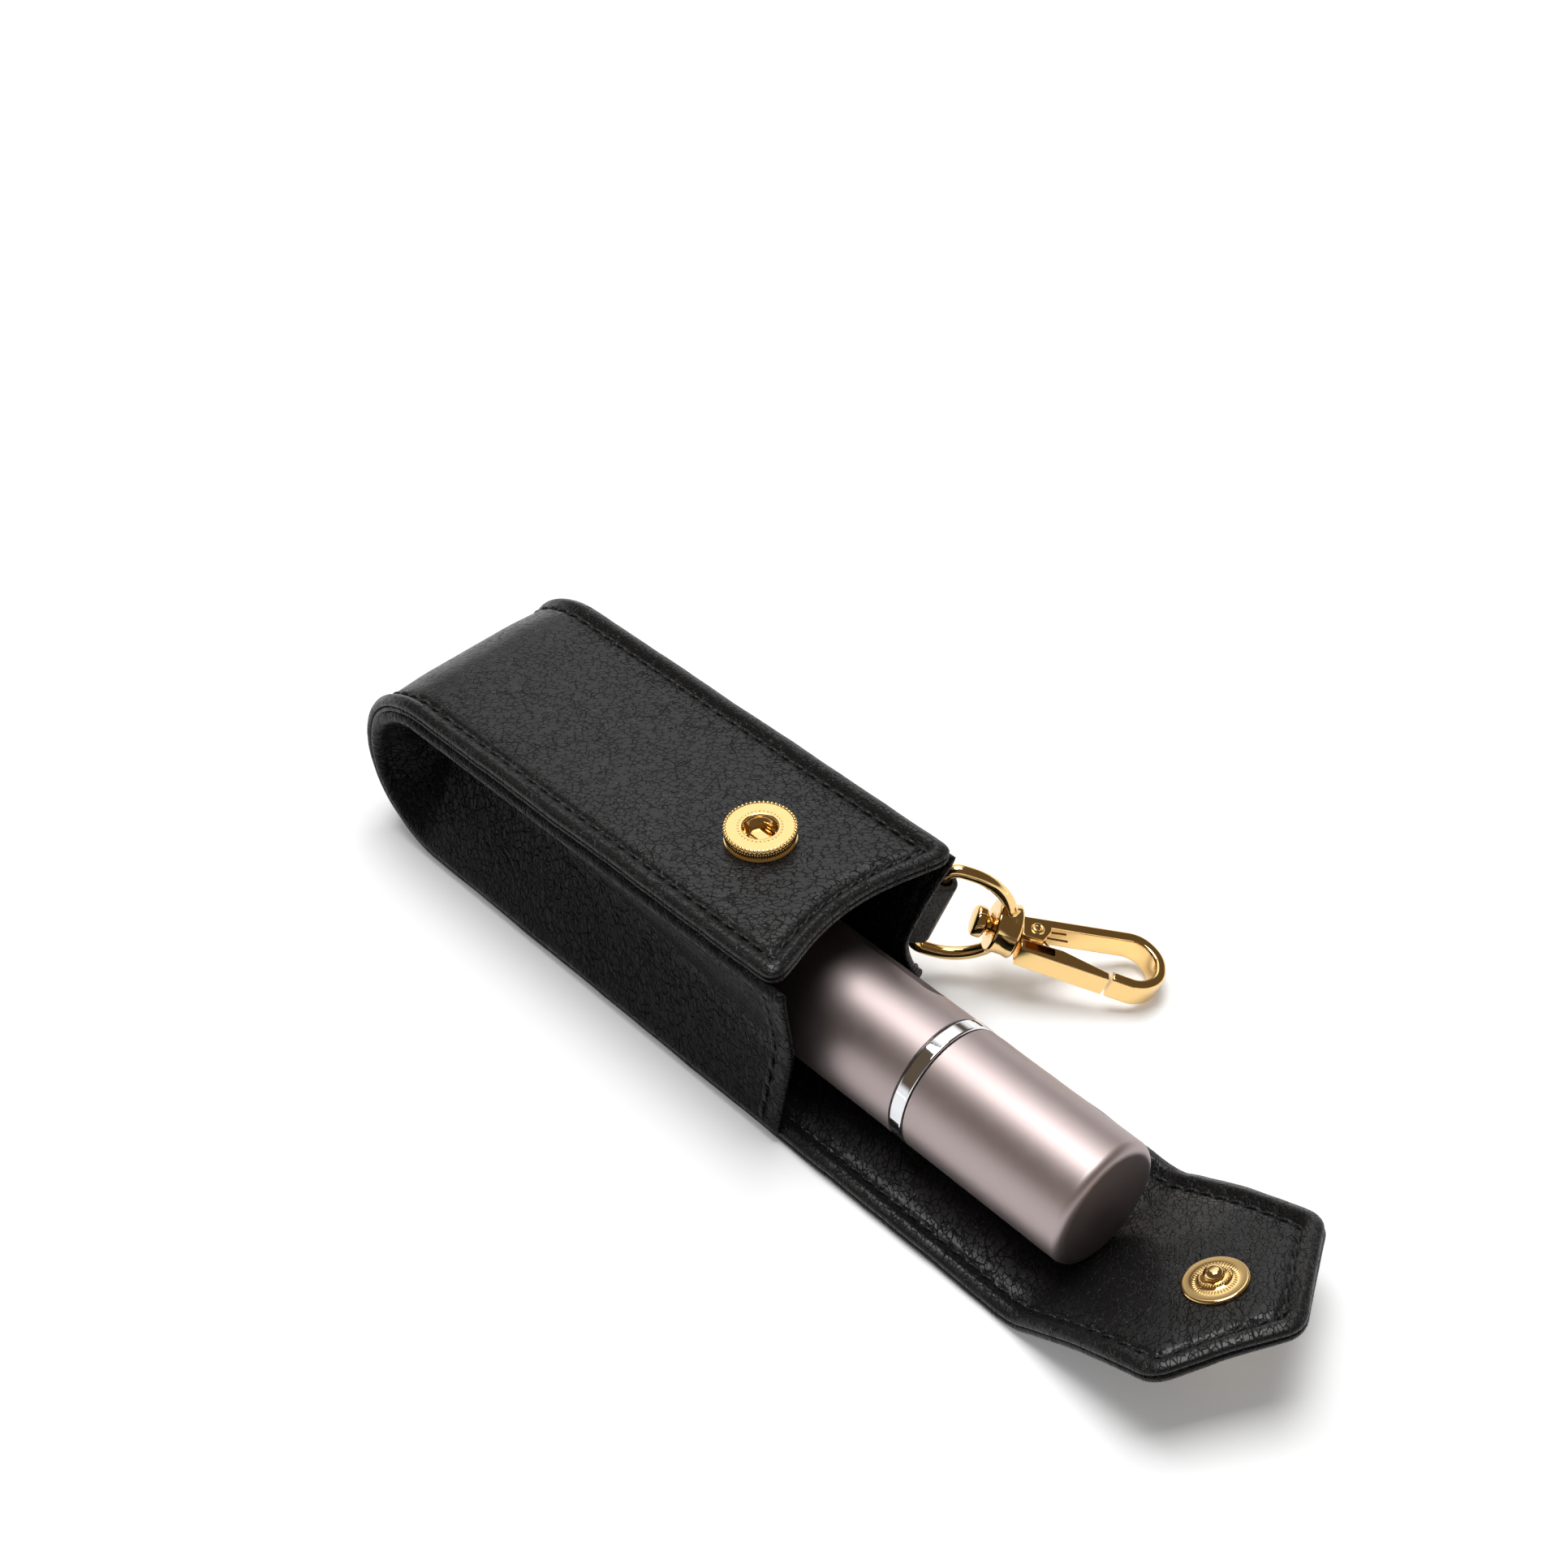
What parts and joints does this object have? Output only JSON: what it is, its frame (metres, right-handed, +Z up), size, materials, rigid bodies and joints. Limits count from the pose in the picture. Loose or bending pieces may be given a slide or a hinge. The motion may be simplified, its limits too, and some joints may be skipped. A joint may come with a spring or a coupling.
{
  "type": "leather atomizer case with swivel hook",
  "caption": "Black leather case with a pointed snap flap, a swivel snap hook on a side tab and the perfume atomizer it carries, lying open on its back.",
  "frame": {"origin": "on the underside of the back panel, on the middle line of the case, near half its length", "axes": "+X from the closed end towards the mouth and the flap, +Y towards the side with the hook, +Z up from the back panel to the front panel"},
  "size_m": [0.1486, 0.0553, 0.0303],
  "materials": {
    "black_leather": "fine pebbled grain, satin",
    "lining_leather": "smooth, matt",
    "gold_metal": "polished light gold plating",
    "spring_steel": "drawn wire",
    "mauve_metal": "satin anodised mauve",
    "chrome_metal": "polished",
    "clear_plastic": "clear",
    "white_plastic": "moulded"
  },
  "bodies": {
    "case": {"outer_wrap": "black_leather", "wrap_lining": "lining_leather", "left_gusset": "black_leather", "right_gusset": "black_leather", "ring_tab": "black_leather", "socket_shell": "gold_metal", "socket_spring": "spring_steel", "socket_rivet": "spring_steel"},
    "flap_bridge": {"bridge_outer": "black_leather", "bridge_lining": "lining_leather"},
    "flap_tongue": {"tongue_outer": "black_leather", "tongue_lining": "lining_leather", "stud_body": "gold_metal", "stud_cap": "gold_metal"},
    "eye": {"swivel_eye": "gold_metal"},
    "hook": {"hook_frame": "gold_metal", "swivel_head": "gold_metal", "gate_pin": "gold_metal", "gate_spring": "spring_steel"},
    "gate": {"hook_gate": "gold_metal"},
    "atomizer": {"atomizer_sleeve": "mauve_metal", "inner_bottle": "clear_plastic", "collar_ring": "chrome_metal", "pump_housing": "white_plastic", "pump_spring": "spring_steel", "dip_tube": "clear_plastic", "base_plug": "white_plastic", "refill_spring": "spring_steel"},
    "cap": {"atomizer_cap": "mauve_metal", "cap_liner": "white_plastic"},
    "button": {"spray_button": "white_plastic", "pump_stem": "white_plastic", "nozzle_insert": "spring_steel"},
    "refill_valve": {"refill_pin": "white_plastic"}
  },
  "joints": [
    {"name": "flap_close", "type": "hinge", "parent": "case", "child": "flap_bridge", "pos_m": [0.0377, 0, 0.00085], "axis": [0, -1, 0], "range_deg": [0, 90], "deforming": ["bridge_outer", "bridge_lining", "tongue_outer", "tongue_lining", "socket_spring"]},
    {"name": "tongue_fold", "type": "hinge", "parent": "flap_bridge", "child": "flap_tongue", "pos_m": [0.07012, 0, 0.00085], "axis": [0, -1, 0], "range_deg": [0, 69.7], "deforming": ["bridge_outer", "bridge_lining", "tongue_outer", "tongue_lining", "socket_spring"]},
    {"name": "atomizer_slide", "type": "slide", "parent": "case", "child": "atomizer", "axis": [-0.9993, 0, 0.0384], "range_m": [0, 0.0381]},
    {"name": "eye_swing", "type": "hinge", "parent": "case", "child": "eye", "pos_m": [0.0278, 0.0179, 0.0125], "axis": [0.2457, 0.2136, 0.9455], "range_deg": [-25, 30]},
    {"name": "hook_swivel", "type": "hinge", "parent": "eye", "child": "hook", "pos_m": [0.03551, 0.0246, 0.00898], "axis": [0.7136, 0.6203, -0.3256], "continuous": true},
    {"name": "gate_open", "type": "hinge", "parent": "hook", "child": "gate", "pos_m": [0.03807, 0.02669, 0.00784], "axis": [0.2457, 0.2136, 0.9455], "range_deg": [0, 20], "stiffness_Nm_per_rad": 0.02, "springref_deg": -11.46, "deforming": ["gate_spring"]},
    {"name": "cap_turn", "type": "hinge", "parent": "atomizer", "child": "cap", "pos_m": [0.0006, -0.0008, 0.0105], "axis": [1, 0, 0], "continuous": true},
    {"name": "spray_press", "type": "slide", "parent": "atomizer", "child": "button", "axis": [-1, 0, 0], "range_m": [0, 0.003], "stiffness_N_per_m": 1500, "springref_m": -0.001, "deforming": ["pump_spring"]},
    {"name": "refill_press", "type": "slide", "parent": "atomizer", "child": "refill_valve", "axis": [1, 0, 0], "range_m": [0, 0.0012], "stiffness_N_per_m": 1000, "springref_m": -0.0005, "deforming": ["refill_spring"]}
  ],
  "couplings": [
    {"joint": "tongue_fold", "follows": "flap_close", "ratio": 0.77424},
    {"joint": "atomizer_slide", "follows": "flap_close", "m_per_rad": 0.024223}
  ]
}
